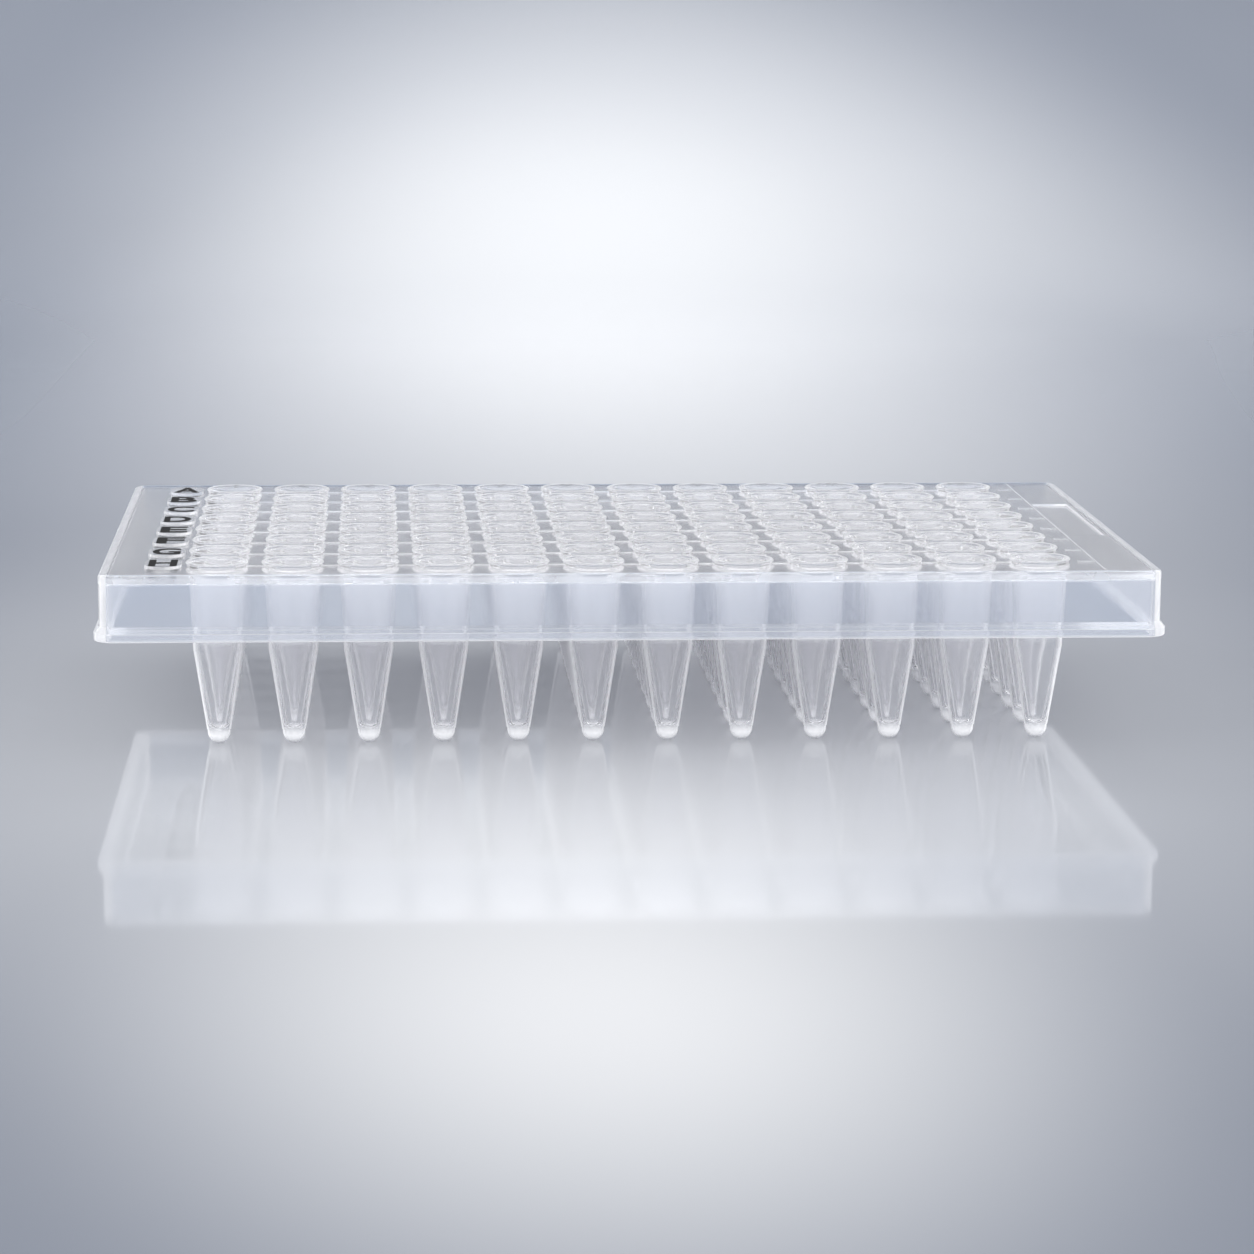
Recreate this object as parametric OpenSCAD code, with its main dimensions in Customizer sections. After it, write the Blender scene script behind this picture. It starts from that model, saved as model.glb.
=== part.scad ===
// 96-well plate for thermal cycling, moulded in one shot of clear polypropylene: a thin deck with a short
// skirt and foot flange round it, and thin-walled conical wells with domed tips that hang below the skirt.
// Millimetres, +Z up. The origin is on the surface that the tips stand on, under the middle of the deck.

/* [Well grid] */
// Number of columns of wells, along X
columns = 12; // [2:1:12]
// Number of rows of wells, along Y
rows = 8; // [2:1:8]
// Distance between the centres of neighbouring wells
pitch = 9; // [8.6:0.1:12]

/* [Deck and skirt] */
// Deck left beyond the centres of the first and the last column
end_margin = 13.78; // [13:0.02:20]
// Deck left beyond the centres of the first and the last row
side_margin = 7.7; // [7:0.1:12]
// Height of the deck's top face above the surface that the tips stand on
deck_height = 21.5; // [20:0.1:25]
// Thickness of the deck
deck_thickness = 1.05; // [0.8:0.05:1.6]
// Radius of the deck's corners, seen from above
corner_radius = 2; // [2:0.1:4]
// Rounding of the deck's top edge
edge_radius = 0.4; // [0.2:0.05:0.6]
// Height of the skirt, from its foot to the deck's top face
skirt_height = 7.9; // [5:0.1:9]
// Wall of the skirt
skirt_wall = 1; // [0.7:0.05:1.5]
// How far the foot flange stands out from the skirt
flange_reach = 0.6; // [0.3:0.05:1]
// Height of the flange's upright edge
flange_edge = 1; // [0.6:0.05:1.6]
// Height of the slope between the flange's edge and the skirt
flange_slope = 0.8; // [0.3:0.05:1.2]
// Rounding of the flange's lower edge
foot_rounding = 0.25; // [0.05:0.05:0.3]
// Fillet inside, where the deck meets the skirt
inner_fillet = 0.3; // [0.1:0.05:0.4]
// Width of each of the two fine ribs on the deck's front edge
rib_width = 0.16; // [0.1:0.02:0.3]
// How far the ribs stand out from the edge
rib_reach = 0.06; // [0.04:0.01:0.12]
// Distance between the two ribs
rib_spacing = 0.86; // [0.5:0.02:2]
// Distance of the ribs from the deck's middle
rib_shift = 16.9; // [0:0.1:30]

/* [Wells] */
// Outer diameter of a well at the deck's top face
shank_top_d = 6.7; // [6.4:0.05:7]
// Outer diameter of a well where its cone begins
shank_low_d = 5.9; // [5.6:0.05:6.2]
// Height at which the cone begins
cone_top = 11.3; // [9:0.1:12]
// Height of the tip's collar, where the cone ends
collar_height = 1.64; // [1.5:0.02:1.8]
// Outer diameter of the cone at the collar
collar_d = 2.86; // [2.8:0.02:3.2]
// Diameter of the domed tip
tip_d = 2.7; // [2.3:0.02:2.74]
// Diameter of the bore where the funnel ends
bore_top_d = 5.6; // [5.2:0.05:5.8]
// Diameter of the bore where the cone begins
bore_low_d = 5.15; // [4.9:0.05:5.2]
// Height of the bottom of the bore's round floor
floor_height = 1.75; // [1.7:0.05:2.4]
// Radius of the bore's round floor
floor_radius = 0.9; // [0.7:0.02:1.24]

/* [Rims] */
// Height of a well's rim above the deck
rim_height = 0.6; // [0.5:0.05:1]
// Outer diameter of the rim where it rises from the deck
rim_neck_d = 7.15; // [7:0.05:7.3]
// Outer diameter of the lip that ends the rim
rim_lip_d = 7.45; // [7.35:0.05:7.8]
// Height of the lip
rim_lip_height = 0.35; // [0.3:0.05:0.45]
// Chamfer round the lip's top edge
rim_chamfer = 0.12; // [0.06:0.02:0.14]
// Width of the flat ring on top of the rim
rim_land = 0.3; // [0.2:0.02:0.4]
// Depth of the funnel that leads from the ring into the bore
funnel_depth = 1.1; // [0.8:0.05:1.4]
// Width of the low bridge between the rims of one row
bridge_width = 1.6; // [1:0.1:3]
// Height of the bridge above the deck
bridge_height = 0.2; // [0.1:0.05:0.4]

/* [Marks on the deck] */
// Width of the raised pad beside each row, left of the first column
pad_width = 4.4; // [3:0.1:5]
// Length of the pad, along the row's depth
pad_length = 6.3; // [5.1:0.1:8]
// Height of the pad
pad_height = 0.35; // [0.1:0.05:0.5]
// Distance of the pads from the centres of the first column
pad_offset = 6.4; // [6.1:0.1:6.5]
// Length of the raised dash beside each row, right of the last column
dash_length = 1.9; // [1:0.1:2.2]
// Width of the dash
dash_width = 0.6; // [0.3:0.05:1]
// Height of the dash
dash_height = 0.2; // [0.1:0.05:0.4]
// Distance of the dashes from the centres of the last column
dash_offset = 5.7; // [5.4:0.1:5.8]
// Width of the shallow pocket for a label, near the deck's right edge
label_width = 4.8; // [2:0.1:5]
// Length of the label pocket
label_length = 28; // [5:0.5:30]
// Depth of the label pocket
label_depth = 0.25; // [0.1:0.05:0.4]
// Distance of the label pocket from the deck's right edge
label_margin = 1.85; // [1.2:0.05:2]
// How far the label pocket's middle lies behind the deck's middle
label_shift = 3.8; // [0:0.1:6]
// Width of the fine line that runs along the deck, left of the label pocket
line_width = 0.2; // [0.1:0.05:0.3]
// Height of the fine line
line_height = 0.1; // [0.05:0.05:0.2]

/* [Hidden] */
$fn = 48;
sunk = 0.3;            // how deep the raised features start inside the deck, so that they are one with it
above = 1;             // how far the cutters reach past the face that they open

deck_length = (columns - 1) * pitch + 2 * end_margin;
deck_width = (rows - 1) * pitch + 2 * side_margin;
deck_under = deck_height - deck_thickness;
foot = deck_height - skirt_height;
rim_top = deck_height + rim_height;
lip_base = rim_top - rim_lip_height;
lip_swell = (rim_lip_d - rim_neck_d) / 2;
mouth_d = rim_lip_d - 2 * (rim_chamfer + rim_land);
label_left = deck_length / 2 - label_margin - label_width;
deck_middle = deck_under + deck_thickness / 2;
shank_middle_d = shank_low_d + (shank_top_d - shank_low_d) * (deck_middle - cone_top) / (deck_height - cone_top);

function column_x(c) = (c - (columns - 1) / 2) * pitch;
function row_y(r) = (r - (rows - 1) / 2) * pitch;

// The deck's edge, the skirt and its foot flange, cut across. X = 0 is the centre of the corner's radius.
module skirt_section() {
    inner = corner_radius - skirt_wall;
    outer = corner_radius + flange_reach;
    polygon([
        [0, deck_under],
        [inner, deck_under],
        [inner, foot],
        [outer - foot_rounding, foot],
        [outer, foot + foot_rounding],
        [outer, foot + flange_edge],
        [corner_radius, foot + flange_edge + flange_slope],
        [corner_radius, deck_height - edge_radius],
        [corner_radius - edge_radius, deck_height],
        [0, deck_height]
    ]);
    translate([corner_radius - edge_radius, deck_height - edge_radius]) circle(r = edge_radius);
    translate([outer - foot_rounding, foot + foot_rounding]) circle(r = foot_rounding);
    translate([inner - inner_fillet, deck_under - inner_fillet]) difference() {
        square(inner_fillet + sunk);
        circle(r = inner_fillet);
    }
}

// One straight side of the skirt with the rounded corner that ends it.
module side_and_corner(reach, length) {
    translate([reach, 0, 0]) rotate([90, 0, 0]) linear_extrude(height = length, center = true) skirt_section();
    translate([reach, length / 2, 0]) rotate_extrude(angle = 90) skirt_section();
}

module deck_and_skirt() {
    straight_x = deck_length - 2 * corner_radius;
    straight_y = deck_width - 2 * corner_radius;
    translate([0, 0, deck_middle]) cube([straight_x, straight_y, deck_thickness], center = true);
    for (side = [0:3])
        rotate(side * 90)
            side_and_corner((side % 2 == 0 ? straight_x : straight_y) / 2, side % 2 == 0 ? straight_y : straight_x);
}

// A well from outside: domed tip, collar, cone, drafted shank, and the rim with its lip above the deck.
module well_outside() {
    rotate_extrude() {
        intersection() {
            translate([0, tip_d / 2]) circle(d = tip_d);
            square([tip_d, tip_d / 2]);
        }
        polygon([
            [0, tip_d / 2],
            [tip_d / 2, tip_d / 2],
            [tip_d / 2, collar_height],
            [collar_d / 2, collar_height],
            [shank_low_d / 2, cone_top],
            [shank_middle_d / 2, deck_middle],
            [rim_neck_d / 2, deck_middle],
            [rim_neck_d / 2, lip_base],
            [rim_lip_d / 2, lip_base + lip_swell],
            [rim_lip_d / 2, rim_top - rim_chamfer],
            [rim_lip_d / 2 - rim_chamfer, rim_top],
            [0, rim_top]
        ]);
    }
}

// What a well holds: round floor, cone, drafted bore and the funnel at its mouth.
module well_inside() {
    floor_middle = floor_height + floor_radius;
    rotate_extrude() {
        intersection() {
            translate([0, floor_middle]) circle(r = floor_radius);
            translate([0, floor_height]) square(floor_radius);
        }
        polygon([
            [0, floor_middle],
            [floor_radius, floor_middle],
            [bore_low_d / 2, cone_top],
            [bore_top_d / 2, rim_top - funnel_depth],
            [mouth_d / 2, rim_top],
            [mouth_d / 2, rim_top + above],
            [0, rim_top + above]
        ]);
    }
}

// The low bridge that joins two neighbouring rims of one row.
module bridge() {
    length = pitch - rim_neck_d + 2 * sunk;
    translate([0, 0, deck_height + (bridge_height - sunk) / 2])
        cube([length, bridge_width, bridge_height + sunk], center = true);
}

// The raised oval that carries a row's letter.
module letter_pad() {
    straight = pad_length - pad_width;
    translate([0, 0, deck_height - sunk]) linear_extrude(height = pad_height + sunk) {
        square([pad_width, straight], center = true);
        for (end = [-1, 1]) translate([0, end * straight / 2]) circle(d = pad_width);
    }
}

// The two fine upright ribs on the deck's front edge, from its underside up to where the edge is rounded.
module edge_ribs() {
    for (side = [-1, 1])
        translate([rib_shift + side * rib_spacing / 2, (sunk - rib_reach - deck_width) / 2, deck_middle - edge_radius / 2])
            cube([rib_width, sunk + rib_reach, deck_thickness - edge_radius], center = true);
}

module dash() {
    translate([0, 0, deck_height + (dash_height - sunk) / 2])
        cube([dash_length, dash_width, dash_height + sunk], center = true);
}

module label_pocket() {
    translate([label_left + label_width / 2, label_shift, deck_height - label_depth])
        translate([0, 0, (label_depth + above) / 2]) cube([label_width, label_length, label_depth + above], center = true);
}

// The fine line sets off the strip of deck that carries the label pocket.
module fine_line() {
    translate([label_left - line_width / 2, 0, deck_height + (line_height - sunk) / 2])
        cube([line_width, deck_width - 2 * corner_radius, line_height + sunk], center = true);
}

module well_plate() {
    color([0.86, 0.89, 0.93, 0.6]) difference() {
        union() {
            deck_and_skirt();
            for (c = [0:columns - 1], r = [0:rows - 1]) translate([column_x(c), row_y(r), 0]) well_outside();
            for (c = [1:columns - 1], r = [0:rows - 1]) translate([column_x(c) - pitch / 2, row_y(r), 0]) bridge();
            for (r = [0:rows - 1]) {
                translate([column_x(0) - pad_offset, row_y(r), 0]) letter_pad();
                translate([column_x(columns - 1) + dash_offset, row_y(r), 0]) dash();
            }
            fine_line();
            edge_ribs();
        }
        for (c = [0:columns - 1], r = [0:rows - 1]) translate([column_x(c), row_y(r), 0]) well_inside();
        label_pocket();
    }
}

well_plate();
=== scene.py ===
import math

import bmesh
import bpy
from mathutils import Matrix, Vector


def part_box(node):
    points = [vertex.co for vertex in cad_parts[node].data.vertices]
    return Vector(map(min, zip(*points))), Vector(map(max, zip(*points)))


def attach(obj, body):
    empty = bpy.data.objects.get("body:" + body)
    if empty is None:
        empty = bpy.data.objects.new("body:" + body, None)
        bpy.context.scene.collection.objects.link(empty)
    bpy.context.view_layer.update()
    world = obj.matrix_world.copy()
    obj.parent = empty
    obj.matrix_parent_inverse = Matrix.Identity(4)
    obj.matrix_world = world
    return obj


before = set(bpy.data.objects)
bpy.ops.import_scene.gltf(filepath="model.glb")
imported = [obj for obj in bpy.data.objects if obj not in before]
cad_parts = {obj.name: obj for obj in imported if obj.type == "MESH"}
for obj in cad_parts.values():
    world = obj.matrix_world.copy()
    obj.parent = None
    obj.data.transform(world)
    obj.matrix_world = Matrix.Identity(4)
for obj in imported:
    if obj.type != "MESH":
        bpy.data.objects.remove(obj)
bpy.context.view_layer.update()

# ---- The plate ------------------------------------------------------------------------------------
# One injection moulding of clear polypropylene. The mould is polished for the cones, which are clear,
# and finely matt for their shanks, which are milky. Light that runs a long way inside the wall comes
# out white at its thick edges: a milk in the plastic carries part of it, and the rest is painted
# light, a white veil painted on the thick edges, with painted highlight lines along the skirt's foot
# and the flange's crest. The two long walls carry a thin bluish veil, and the wells' outlines a
# painted sheen.


def linear(hex_colour):
    """A colour written as sRGB hex, as the linear RGBA that a shader takes."""
    parts = [int(hex_colour[i : i + 2], 16) / 255 for i in (1, 3, 5)]
    return [c / 12.92 if c <= 0.04045 else ((c + 0.055) / 1.055) ** 2.4 for c in parts] + [1.0]


def new_material(name):
    made = bpy.data.materials.new(name)
    made.use_nodes = True
    made.node_tree.nodes.clear()
    return made, made.node_tree


def add(tree, kind, settings=None, **links):
    """Adds a node. A setting is an input, by its name or number, or a property.
    A link names an input, with _ for a space, or _ and the input's number, and gives its source: an
    output, or a node, which stands for its first output in use."""
    node = tree.nodes.new("ShaderNode" + kind)
    for name, value in (settings or {}).items():
        if isinstance(name, int) or name in node.inputs:
            node.inputs[name].default_value = value
        else:
            setattr(node, name, value)
    for name, source in links.items():
        key = int(name[1:]) if name[1:].isdigit() else name.replace("_", " ")
        if isinstance(source, bpy.types.Node):
            source = next(output for output in source.outputs if output.enabled)
        tree.links.new(source, node.inputs[key])
    return node


skirt_wall = 0.0010
flange_reach = 0.0006
flange_edge = 0.0010
flange_height = 0.0018
rim_height = 0.0006
# Heights above the floor: the skirt's foot, the collars over the solid tips, and the deck's underside.
foot = 0.0136
collar = 0.00164
deck_under = 0.02045
plate_corner = Vector(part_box("well_plate")[1])
deck_top = plate_corner.z - rim_height
skirt_inside = plate_corner - Vector((1, 1, 0)) * (flange_reach + skirt_wall)

plastic, tree = new_material("clear_polypropylene")
place = add(tree, "TexCoord").outputs["Object"]
along = add(tree, "SeparateXYZ", Vector=place).outputs
height = along["Z"]

# Each span runs from one measure to another, and gives a share at its start and at its end.
span = ("From Min", "From Max", "To Min", "To Max")
spans_up_the_plate = {
    # A painted highlight line along the skirt's foot.
    "painted_foot_highlight": (foot + 0.0003, foot + 0.0001, 0, 1),
    "ledge": (foot + flange_height, foot + flange_height - 0.0002, 0, 0.35),
    "deck_edge": (deck_under - 0.0001, deck_under, 0, 0.45),
    "shank_foot": (foot - 0.0015, foot - 0.0005, 0.01, 0.3),
    "shank_top": (deck_under, deck_top, 1, 0.3),
    "rims": (deck_top + 0.0003, deck_top + 0.0005, 0, 1),
    "tips": (collar + 0.0008, collar - 0.0006, 0, 0.65),
    "outlines": (foot - 0.0012, foot - 0.0004, 0.9, 0.25),
    "thrown_back": (foot - 0.001, foot, 0.75, 0.45),
}
up = {
    name: add(tree, "MapRange", dict(zip(span, ends)), Value=height)
    for name, ends in spans_up_the_plate.items()
}

# The skirt: how far out a place lies in the end walls and in the long walls, and where light is
# painted on it as a white veil: the glow of its thick edges and the highlight lines at its foot and
# crest.
in_wall = []
for axis in (0, 1):
    distance = add(tree, "Math", {"operation": "ABSOLUTE"}, _0=along[axis])
    ends = (skirt_inside[axis] - 0.0003, skirt_inside[axis] + 0.0001, 0, 1)
    in_wall.append(add(tree, "MapRange", dict(zip(span, ends)), Value=distance))
long_wall = in_wall[1]
skirt = add(tree, "Math", {"operation": "MAXIMUM"}, _0=in_wall[0], _1=in_wall[1])
corners = add(tree, "Math", {"operation": "MINIMUM"}, _0=in_wall[0], _1=in_wall[1])
# A painted highlight line along the flange's crest, where its rounded edge would shine.
from_crest = add(tree, "Math", {"operation": "SUBTRACT", 1: foot + flange_edge}, _0=height)
from_crest = add(tree, "Math", {"operation": "ABSOLUTE"}, _0=from_crest)
crest_highlight = add(tree, "MapRange", dict(zip(span, (0.00012, 0.00002, 0, 0.8))), Value=from_crest)
# Painted light: a white veil on the corners, the flange, the deck's band, and the foot and crest
# lines.
painted_edge_light = corners
for edge in (up["ledge"], up["deck_edge"], up["painted_foot_highlight"], crest_highlight):
    painted_edge_light = add(tree, "Math", {"operation": "MAXIMUM"}, _0=painted_edge_light, _1=edge)

# The veil on the skirt is uneven by a tenth, in clouds of 6 mm, as in a moulding that cooled unevenly.
cloud_size = 0.006
clouds = add(tree, "TexNoise", {"Scale": 1 / cloud_size, "Detail": 4.0}, Vector=place)
more_or_less = dict(zip(span, (0.3, 0.7, 0.88, 1.12)))
uneven = add(tree, "MapRange", more_or_less, Value=clouds.outputs["Fac"])
painted_edge_veil = add(tree, "MapRange", {"To Max": 0.62}, Value=painted_edge_light)
thin_veil = add(tree, "MapRange", {"To Min": 0.02, "To Max": 0.1}, Value=long_wall)
skirt_veil = add(tree, "Math", {"operation": "MAXIMUM"}, _0=painted_edge_veil, _1=thin_veil)
skirt_veil = add(tree, "Math", {"operation": "MULTIPLY"}, _0=skirt_veil, _1=uneven)

# The wells: milky on the upright sides of the shanks, and white on the rims and at the solid tips.
normal = add(tree, "NewGeometry").outputs["Normal"]
turned_up = add(tree, "SeparateXYZ", Vector=normal).outputs["Z"]
facing_up = add(tree, "Math", {"operation": "ABSOLUTE"}, _0=turned_up)
upright = add(tree, "MapRange", dict(zip(span, (0.8, 0.98, 1, 0.1))), Value=facing_up)
flat_tops = add(tree, "MapRange", dict(zip(span, (0.1, 1, 0.6, 0.1))), Value=upright)
shanks = add(tree, "Math", {"operation": "MULTIPLY"}, _0=up["shank_foot"], _1=up["shank_top"])
shanks = add(tree, "Math", {"operation": "MULTIPLY"}, _0=shanks, _1=upright)
rims = add(tree, "Math", {"operation": "MULTIPLY"}, _0=up["rims"], _1=flat_tops)
rims_and_tips = add(tree, "Math", {"operation": "ADD"}, _0=rims, _1=up["tips"])
well_veil = add(tree, "Math", {"operation": "ADD"}, _0=shanks, _1=rims_and_tips)
veil_share = add(tree, "Mix", {"data_type": "FLOAT"}, _0=skirt, _2=well_veil, _3=skirt_veil)

# Painted sheen: a white veil on the wells' sides where they are seen at a slant paints bright
# outlines, more on the cones than behind the skirt.
slant = add(tree, "LayerWeight").outputs["Facing"]
painted_sheen = add(tree, "MapRange", dict(zip(span, (0.42, 0.64, 0, 1))), Value=slant)
for share in (upright, up["outlines"]):
    painted_sheen = add(tree, "Math", {"operation": "MULTIPLY"}, _0=painted_sheen, _1=share)
veil_share = add(tree, "Math", {"operation": "ADD"}, _0=veil_share, _1=painted_sheen)

# The veil lets some light through and throws some back, most of all at the tips.
bluish = add(tree, "Math", {"operation": "SUBTRACT"}, _0=long_wall, _1=painted_edge_light)
bluish = add(tree, "MapRange", dict(zip(span, (0.2, 0.9, 0, 1))), Value=bluish)
hues = {"data_type": "RGBA", 6: linear("#f5f6f8"), 7: linear("#bdd3f3")}
hue = add(tree, "Mix", hues, _0=bluish)
through = add(tree, "BsdfTranslucent", Color=hue)
back = add(tree, "BsdfDiffuse", Color=hue)
at_tips = add(tree, "MapRange", dict(zip(span, (0, 0.65, 0, 0.9))), Value=up["tips"])
thrown_back = add(tree, "Math", {"operation": "MAXIMUM"}, _0=up["thrown_back"], _1=at_tips)
veil = add(tree, "MixShader", _0=thrown_back, _1=through, _2=back)

# Under the veil lies clear plastic with a faint milk in it. Light on its way to a matt surface passes
# straight through, slightly dimmed, so that the inside and the floor under the plate stay light.
glass = {
    "Base Color": linear("#fefeff"),
    "Roughness": 0.12,
    "IOR": 1.49,
    "Transmission Weight": 1.0,
}
moulded = add(tree, "MixShader", _0=veil_share, _1=add(tree, "BsdfPrincipled", glass), _2=veil)
dimmed = add(tree, "BsdfTransparent", {"Color": linear("#eeeeef")})
rays = add(tree, "LightPath").outputs
unbent = add(
    tree, "Math", {"operation": "MAXIMUM"}, _0=rays["Is Shadow Ray"], _1=rays["Is Diffuse Ray"]
)
surface = add(tree, "MixShader", _0=unbent, _1=moulded, _2=dimmed)
milk = add(tree, "VolumeScatter", {"Color": linear("#fdfdfe"), "Density": 15.0})
add(tree, "OutputMaterial", Surface=surface, Volume=milk)

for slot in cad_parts["well_plate"].material_slots:
    slot.material = plastic

# ---- The letters and the numbers ------------------------------------------------------------------
# The rows' letters stand on the oval pads and the columns' numbers behind row A. Both are a thin film
# of black ink, printed with a soft pad, which leaves fine paler specks in the black.
pitch = 0.009
rows = 8
columns = 12
pad_height = 0.00035
pad_offset = 0.0064
letter_size = (0.0034, 0.0048)
letter_bold = 0.03
number_offset = 0.0055
number_depth = 0.0028
number_bold = 0.02
ink_sunk = 0.000005
ink_film = 0.00002
speck_size = 0.00025

ink, tree = new_material("black_pad_printing_ink")
place = add(tree, "TexCoord").outputs["Object"]
specks = add(tree, "TexNoise", {"Scale": 1 / speck_size, "Detail": 3.0}, Vector=place)
thin = add(tree, "MapRange", {"From Min": 0.6, "From Max": 0.75}, Value=specks.outputs["Fac"])
tones = {"data_type": "RGBA", 6: linear("#08080a"), 7: linear("#1c1d20")}
tone = add(tree, "Mix", tones, _0=thin)
film = add(tree, "BsdfPrincipled", {"Roughness": 0.8, "IOR": 1.2}, Base_Color=tone)
add(tree, "OutputMaterial", Surface=film)


def print_words(name, words, printed_on, size, bold):
    """Prints each word, given as (word, x, y), on one height. A size is (width or None, depth)."""
    bm = bmesh.new()
    for word, x, y in words:
        text = bpy.data.curves.new(name, "FONT")
        text.body = word
        text.offset = bold
        text.extrude = 0.5
        setting = bpy.data.objects.new(name, text)
        mesh = bpy.data.meshes.new_from_object(setting)
        xs = [v.co.x for v in mesh.vertices]
        ys = [v.co.y for v in mesh.vertices]
        depth_scale = size[1] / (max(ys) - min(ys))
        width_scale = size[0] / (max(xs) - min(xs)) if size[0] else depth_scale
        to_centre = Vector((-(max(xs) + min(xs)) / 2, -(max(ys) + min(ys)) / 2, text.extrude))
        mesh.transform(
            Matrix.Translation((x, y, printed_on - ink_sunk))
            @ Matrix.Diagonal((width_scale, depth_scale, ink_film + ink_sunk, 1))
            @ Matrix.Translation(to_centre)
        )
        bm.from_mesh(mesh)
        bpy.data.objects.remove(setting)
        bpy.data.curves.remove(text)
        bpy.data.meshes.remove(mesh)
    bmesh.ops.remove_doubles(bm, verts=bm.verts, dist=1e-7)
    bmesh.ops.recalc_face_normals(bm, faces=bm.faces)
    mesh = bpy.data.meshes.new(name)
    bm.to_mesh(mesh)
    bm.free()
    mesh.materials.append(ink)
    piece = bpy.data.objects.new(name, mesh)
    bpy.context.collection.objects.link(piece)
    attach(piece, "root")


first_x = -(columns - 1) / 2 * pitch
first_y = (rows - 1) / 2 * pitch
letters = [(chr(ord("A") + r), first_x - pad_offset, first_y - r * pitch) for r in range(rows)]
numbers = [(str(c + 1), first_x + c * pitch, first_y + number_offset) for c in range(columns)]
print_words("row_letters", letters, deck_top + pad_height, letter_size, letter_bold)
print_words("column_numbers", numbers, deck_top, (None, number_depth), number_bold)

# ---- The sheet it stands on -----------------------------------------------------------------------
# A sheet of grey acrylic lies flat under the plate and sweeps up behind it. It is polished, so it
# mirrors the tips softly. Its colour holds painted light: it is lighter in four soft pools of painted
# light, each with its centre, its reach along X, Y and Z, and its colour at the centre, and darker
# between them as painted falloff. Their long reach up Z keeps a pool even where the sheet rises.
sheet_reach = 3.0
bend_start = 0.45
bend_radius = 2.0
bend_steps = 64
wall_height = 2.0
sheet_grey = "#757a84"
# Pools of painted light in the sheet's colour, over its darker grey.
painted_light_pools = {
    "behind_the_plate": ((0.015, 0.36, 0), (0.15, 0.57, 4), "#cacbcd"),
    "round_the_plate": ((-0.015, -0.03, 0), (0.155, 0.21, 4), "#b0b2b6"),
    "on_the_sweep": ((0.055, 0.67, -1.9), (0.26, 0.62, 4.2), "#e7e8e9"),
    "before_the_plate": ((-0.01, -0.15, 0), (0.06, 0.12, 4), "#cacbcd"),
}

acrylic, tree = new_material("polished_acrylic_sheet")
place = add(tree, "TexCoord").outputs["Object"]
painted_floor_tone = None
# Each pool mixes painted light into the sheet's grey.
for centre, reach, lightest in painted_light_pools.values():
    scale = [1 / r for r in reach]
    move = {"Location": [-c * s for c, s in zip(centre, scale)], "Scale": scale}
    moved = add(tree, "Mapping", move, Vector=place)
    painted_pool = add(tree, "TexGradient", {"gradient_type": "SPHERICAL"}, Vector=moved)
    smooth = {"interpolation_type": "SMOOTHSTEP"}
    painted_pool = add(tree, "MapRange", smooth, Value=painted_pool.outputs["Fac"])
    tones = {"data_type": "RGBA", 6: linear(sheet_grey), 7: linear(lightest)}
    under = {"_6": painted_floor_tone} if painted_floor_tone else {}
    painted_floor_tone = add(tree, "Mix", tones, _0=painted_pool, **under)
body = add(tree, "BsdfDiffuse", Color=painted_floor_tone)
polish = add(tree, "BsdfGlossy", {"Color": linear("#f4f5f7"), "Roughness": 0.06})
grazing = add(tree, "Fresnel", {"IOR": 1.5})
share = add(tree, "MapRange", {"To Max": 0.9}, Value=grazing)
sheet_look = add(tree, "MixShader", _0=share, _1=body, _2=polish)
add(tree, "OutputMaterial", Surface=sheet_look)

bm = bmesh.new()
edge = bm.edges.new([bm.verts.new((x, -sheet_reach, 0)) for x in (sheet_reach, -sheet_reach)])
laid = bmesh.ops.extrude_edge_only(bm, edges=[edge])["geom"]
far_edge = [v for v in laid if isinstance(v, bmesh.types.BMVert)]
bmesh.ops.translate(bm, verts=far_edge, vec=(0, bend_start + sheet_reach, 0))
edge = next(e for e in laid if isinstance(e, bmesh.types.BMEdge))
bend = bmesh.ops.spin(
    bm,
    geom=[edge],
    cent=(0, bend_start, bend_radius),
    axis=(1, 0, 0),
    angle=math.pi / 2,
    steps=bend_steps,
)["geom_last"]
edge = next(e for e in bend if isinstance(e, bmesh.types.BMEdge))
wall = bmesh.ops.extrude_edge_only(bm, edges=[edge])["geom"]
top_edge = [v for v in wall if isinstance(v, bmesh.types.BMVert)]
bmesh.ops.translate(bm, verts=top_edge, vec=(0, 0, wall_height))
for face in bm.faces:
    face.smooth = True
mesh = bpy.data.meshes.new("acrylic_sheet")
bm.to_mesh(mesh)
bm.free()
mesh.materials.append(acrylic)
sheet = bpy.data.objects.new("acrylic_sheet", mesh)
bpy.context.collection.objects.link(sheet)

# ---- The light ------------------------------------------------------------------------------------
# A pale tent of cloth lights the plate evenly from all round. Softboxes hang over it, before it and
# behind it, one stands at each side, and a small one lights the sweep. Most would lie on the deck and
# the floor as hard white patches, so they aren't mirrored, and only the one overhead is seen through.
world = bpy.data.worlds.new("light_tent")
bpy.context.scene.world = world
world.use_nodes = True
tent = world.node_tree.nodes["Background"]
tent.inputs["Color"].default_value = linear("#fafafc")
tent.inputs["Strength"].default_value = 0.82


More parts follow.
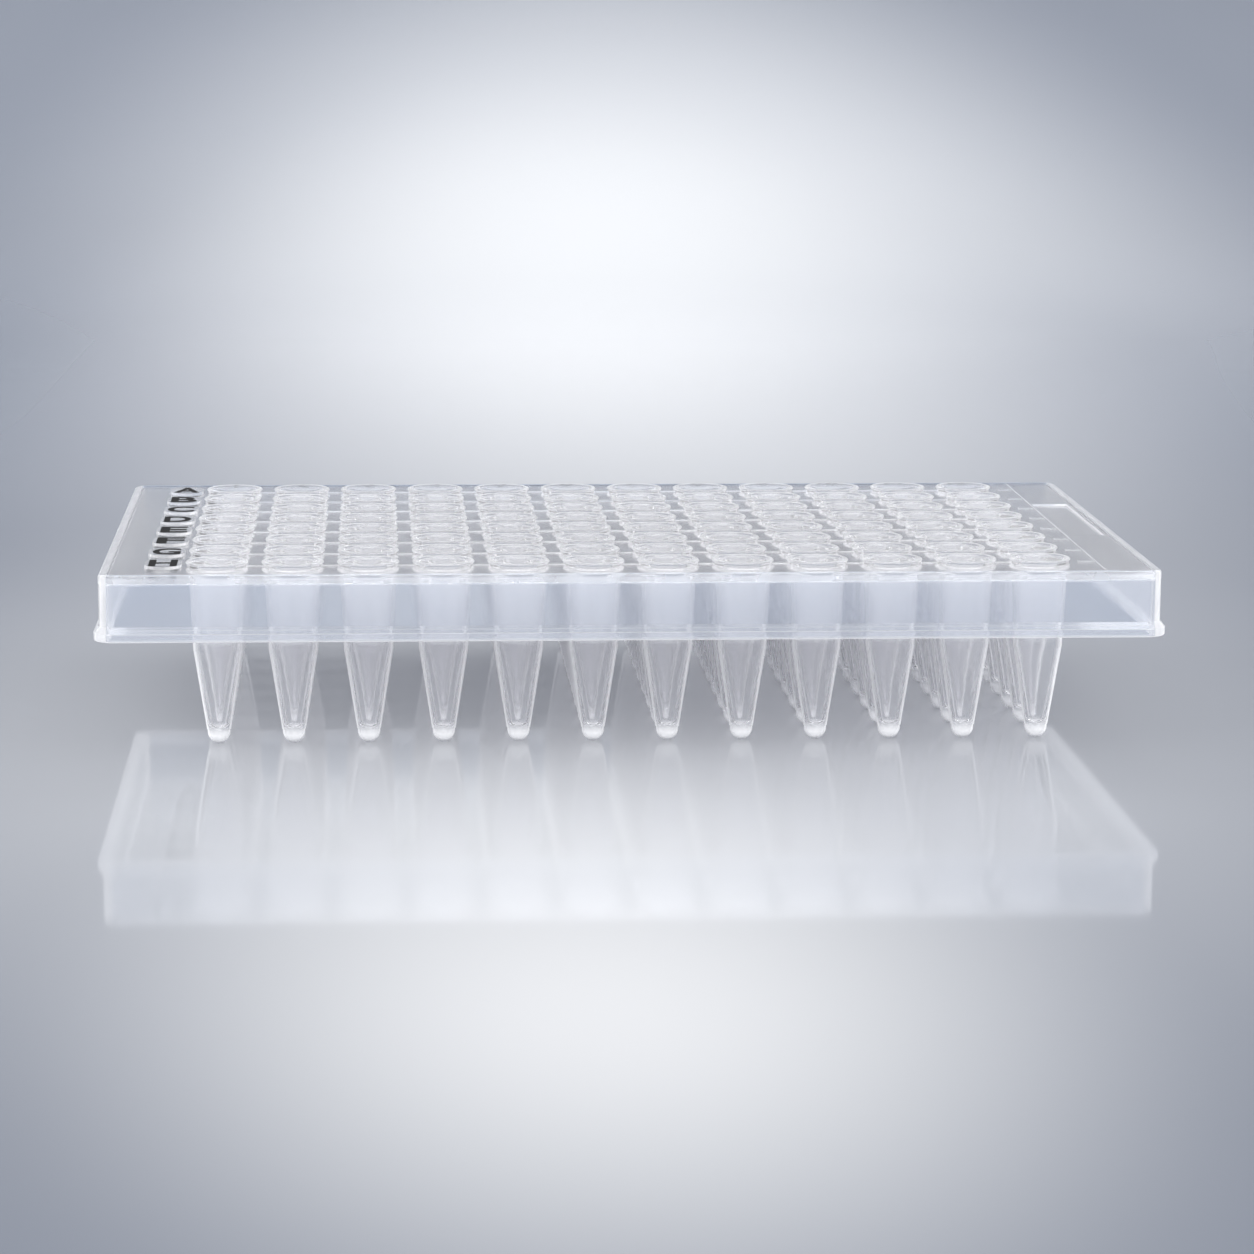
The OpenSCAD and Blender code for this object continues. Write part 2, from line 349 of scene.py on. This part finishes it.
def hang_softbox(name, spot, size, power, aim=(0, 0, 0), mirrored=True, seen_through=False):
    """Hangs a rectangular lamp that faces the plate, or the point it is aimed at."""
    data = bpy.data.lights.new(name, "AREA")
    data.shape = "RECTANGLE"
    data.size, data.size_y = size
    data.energy = power
    lamp = bpy.data.objects.new(name, data)
    bpy.context.collection.objects.link(lamp)
    turn = (Vector(aim) - Vector(spot)).to_track_quat("-Z", "Y").to_matrix().to_4x4()
    lamp.matrix_world = Matrix.Translation(spot) @ turn
    lamp.visible_camera = False
    lamp.visible_glossy = mirrored
    lamp.visible_transmission = seen_through


hang_softbox("overhead_softbox", (0, 0.15, 0.9), (1.0, 0.8), 2.3, seen_through=True)
hang_softbox("left_softbox", (-0.8, 0.05, 0.22), (0.7, 0.4), 4.8, mirrored=False)
hang_softbox("right_softbox", (0.8, 0.05, 0.22), (0.7, 0.4), 4.8, mirrored=False)
hang_softbox("front_softbox", (0, -1.3, 0.5), (1.2, 0.7), 14.0, mirrored=False)
hang_softbox("back_softbox", (0.02, 0.95, 0.75), (1.2, 0.4), 9.5)
lit_sweep = (0.05, 0.85, 0.05)
hang_softbox(
    "background_softbox", (0.05, 0.55, 0.75), (0.5, 0.3), 1.8, aim=lit_sweep, mirrored=False
)

# ---- The camera -----------------------------------------------------------------------------------
# A long lens looks along the plate from the front, a little from the left and from above the deck.
stand = (-0.03058, -0.49871, 0.095416)
turn_right, look_down, roll = math.radians(3.693), math.radians(9.89), math.radians(0.312)
camera_data = bpy.data.cameras.new("camera")
camera_data.lens = 113.24
camera_data.sensor_width = 36
camera_data.clip_start = 0.01
camera_data.clip_end = 20
camera = bpy.data.objects.new("camera", camera_data)
bpy.context.collection.objects.link(camera)
camera.matrix_world = (
    Matrix.Translation(stand)
    @ Matrix.Rotation(-turn_right, 4, "Z")
    @ Matrix.Rotation(math.pi / 2 - look_down, 4, "X")
    @ Matrix.Rotation(roll, 4, "Z")
)
scene = bpy.context.scene
scene.camera = camera
scene.view_settings.view_transform = "Standard"
scene.cycles.max_bounces = 24
scene.cycles.transmission_bounces = 24
scene.cycles.transparent_max_bounces = 32
scene.cycles.volume_bounces = 6
scene.cycles.caustics_reflective = False
scene.cycles.caustics_refractive = False
